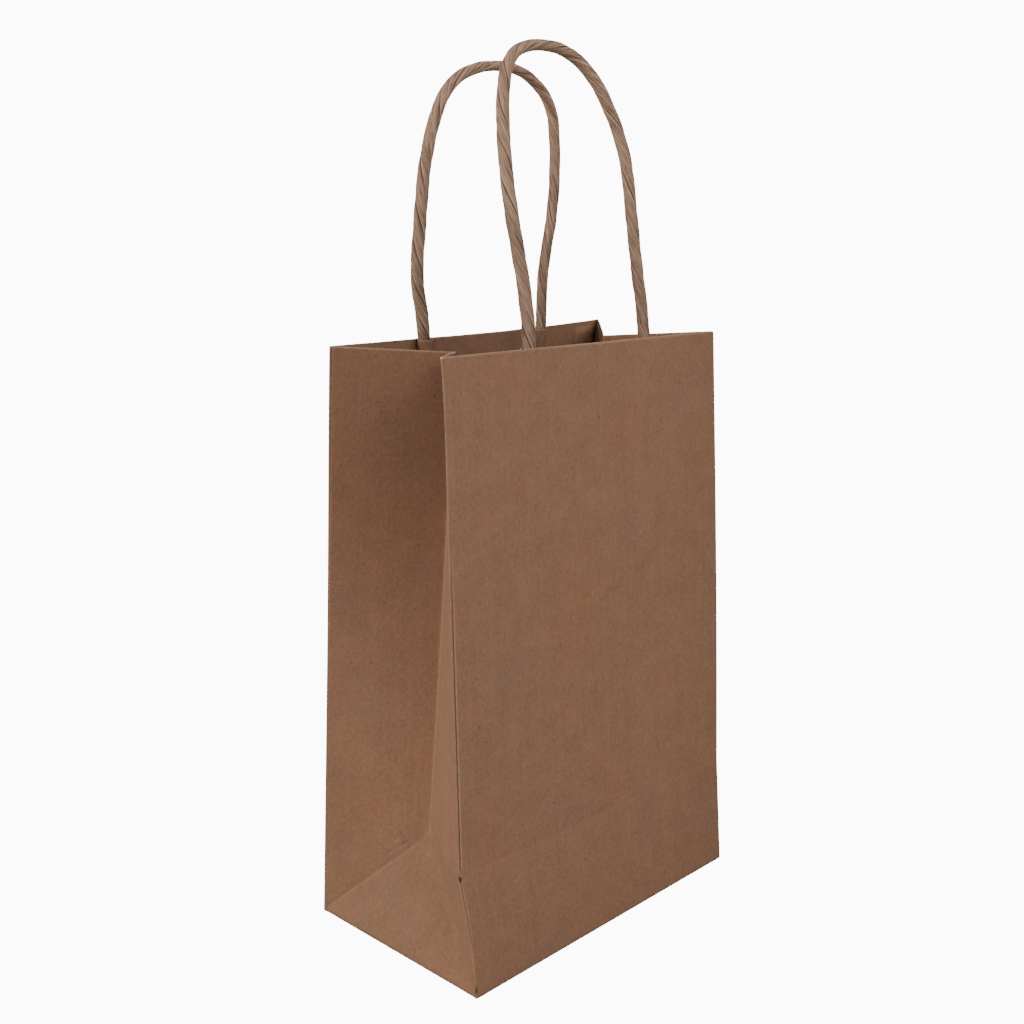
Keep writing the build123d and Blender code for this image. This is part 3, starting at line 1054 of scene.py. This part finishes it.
def flatten(mesh, path, across, thin):
    """Thins the cord in the plane of its loop, by its share at each place along it."""
    line_points = np.array(path)
    places = np.array([v.co for v in mesh.vertices])
    steps = np.linalg.norm(np.diff(line_points, axis=0), axis=1)
    along = np.concatenate([[0], np.cumsum(steps)]) / steps.sum()
    nearest = np.array([np.argmin(((line_points - p) ** 2).sum(1)) for p in places])
    ahead = np.minimum(nearest + 1, len(path) - 1)
    behind = np.maximum(nearest - 1, 0)
    tangent = line_points[ahead] - line_points[behind]
    tangent /= np.linalg.norm(tangent, axis=1)[:, None]
    sideways = np.cross(tangent, across)
    sideways /= np.linalg.norm(sideways, axis=1)[:, None]
    share = np.interp(along[nearest], [a for a, _ in thin], [b for _, b in thin])
    off = ((places - line_points[nearest]) * sideways).sum(1)
    places += sideways * (off * (share - 1))[:, None]
    mesh.vertices.foreach_set("co", places.astype(np.float32).ravel())


handle_facts = (
    ("front", FRONT_PIVOT, radians(10), radians(1.6), FRONT_ROUTE, 1, FRONT_THIN, 1.0),
    ("back", BACK_PIVOT, radians(6), radians(4.75), BACK_ROUTE, -1, BACK_THIN, 6.0),
)
handles = {}
for word, pivot, lean, wall_lean, route, towards, thin, seed in handle_facts:
    points = spline_points(pivot, HANDLE_MIDDLE[word], lean, wall_lean, route, towards)
    guide = cord_line(f"{word}_handle_line", points)
    path = read_line(guide)
    length = sum((b - a).length for a, b in zip(path, path[1:]))
    carrier = bpy.data.objects.new(f"{word}_carrier", bpy.data.meshes.new(f"{word}_carrier"))
    bpy.context.scene.collection.objects.link(carrier)
    modifier = carrier.modifiers.new("cord", "NODES")
    modifier.node_group = tree.tree
    values = {"Line": guide, "Diameter": CORD, "Twist": TWIST, "Seed": seed, "Finish": cord_paper}
    for name, value in values.items():
        modifier[tree.ids[name]] = value
    bpy.context.view_layer.update()
    graph = bpy.context.evaluated_depsgraph_get()
    mesh = bpy.data.meshes.new_from_object(carrier.evaluated_get(graph))
    mesh.name = f"{word}_handle_cord"
    flatten(mesh, path, np.array((0, -cos(lean), towards * sin(lean))), thin)
    # how high each point sits in the loop, used to paint light on the cord's upper part
    heights = np.array([v.co.z for v in mesh.vertices])
    high = mesh.attributes.new("high", "FLOAT", "POINT")
    high.data.foreach_set("value", np.clip((heights - pivot.z) / LOOP_HEIGHT, 0, 1).astype(np.float32))
    mesh.polygons.foreach_set("use_smooth", [True] * len(mesh.polygons))
    cord = bpy.data.objects.new(f"{word}_handle_cord", mesh)
    bpy.context.scene.collection.objects.link(cord)
    bpy.data.objects.remove(carrier)
    bpy.data.objects.remove(guide)
    print(word, "handle:", len(mesh.polygons), "faces, length", round(length, 4))
    handles[word] = (cord, path, length, pivot, Vector((0, towards * sin(lean), cos(lean))))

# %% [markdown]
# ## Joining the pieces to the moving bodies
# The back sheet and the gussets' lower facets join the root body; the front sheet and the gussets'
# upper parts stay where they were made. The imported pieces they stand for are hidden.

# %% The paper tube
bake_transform(front)
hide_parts("front_strip", "front_panel")
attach(back, "root")
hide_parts("back_panel")
for word, upper, lower in gussets:
    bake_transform(upper)
    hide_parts(f"{word}_gusset_front", f"{word}_gusset_rear")
    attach(lower, "root")
    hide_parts(f"{word}_gusset_base")

# %% [markdown]
# The base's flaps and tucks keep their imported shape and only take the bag's paper.

# %% The base
for name in ("base_flap_outer", "base_flap_inner", "base_tuck_left", "base_tuck_right"):
    node = frame["nodes"][name]
    node.data.materials.clear()
    node.data.materials.append(bag_paper)

# %% [markdown]
# Each cord takes the place of the imported handle's ends and loop, which are hidden.

# %% The handles
for word, wall in (("front", "front_wall"), ("back", "root")):
    cord, path, length, pivot, up = handles[word]
    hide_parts(f"{word}_handle_ends", f"{word}_handle_loop")
    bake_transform(cord)

# %% [markdown]
# ## Floor and light
# A plain pale floor and sky, and three soft boxes: a warm key from behind on the left, and two fills.

# %% Floor
PALE = (1, 1, 1, 1)
BACKDROP = 11.2  # how bright the plain floor and sky are to the camera
floor_maker = Maker("floor")
glow = floor_maker.node("Emission", Color=PALE, Strength=BACKDROP)
matt = floor_maker.node("BsdfDiffuse", Color=(0.45, 0.44, 0.43, 1))
seen_directly = floor_maker.node("LightPath", "Is Camera Ray")
floor_mix = floor_maker.tree.nodes.new("ShaderNodeMixShader")
for slot, value in zip(floor_mix.inputs, (seen_directly, matt, glow)):
    floor_maker.fill(slot, value)
floor_maker.output(floor_mix.outputs[0])
floor_mesh = bpy.data.meshes.new("floor")
floor_mesh.from_pydata([(-4, -4, 0), (4, -4, 0), (4, 4, 0), (-4, 4, 0)], [], [(0, 1, 2, 3)])
floor_mesh.materials.append(floor_maker.material)
floor = bpy.data.objects.new("floor", floor_mesh)
floor.location.z = -0.0002
bpy.context.scene.collection.objects.link(floor)

# %% [markdown]
# The sky is bright to the camera and dim to the paper, so that the soft boxes do the lighting.

# %% Light
world = bpy.data.worlds.new("studio")
world.use_nodes = True
bpy.context.scene.world = world
nodes, links = world.node_tree.nodes, world.node_tree.links
nodes.clear()
seen = nodes.new("ShaderNodeBackground")
seen.inputs["Color"].default_value = PALE
seen.inputs["Strength"].default_value = BACKDROP
fill = nodes.new("ShaderNodeBackground")
fill.inputs["Color"].default_value = (1, 0.99, 0.98, 1)
fill.inputs["Strength"].default_value = 0.33
path_kind = nodes.new("ShaderNodeLightPath")
chosen = nodes.new("ShaderNodeMixShader")
end = nodes.new("ShaderNodeOutputWorld")
links.new(path_kind.outputs["Is Camera Ray"], chosen.inputs[0])
links.new(fill.outputs[0], chosen.inputs[1])
links.new(seen.outputs[0], chosen.inputs[2])
links.new(chosen.outputs[0], end.inputs["Surface"])


def soft_box(name, place, aim, size, power, colour=(1, 1, 1)):
    data = bpy.data.lights.new(name, "AREA")
    data.color = colour
    data.size = size
    data.energy = power
    light = bpy.data.objects.new(name, data)
    light.location = place
    light.rotation_mode = "QUATERNION"
    light.rotation_quaternion = (Vector(aim) - Vector(place)).to_track_quat("-Z", "Y")
    bpy.context.scene.collection.objects.link(light)


soft_box("key", (-1.62, 0.78, 0.62), (0, 0, 0.12), 1.4, 34.5, (1, 0.95, 0.89))
soft_box("front_fill", (0.0, -1.5, 1.2), (0, 0, 0.12), 1.4, 24.2)
soft_box("left_fill", (-1.45, -1.05, 0.85), (0, 0, 0.16), 1.2, 4.5)
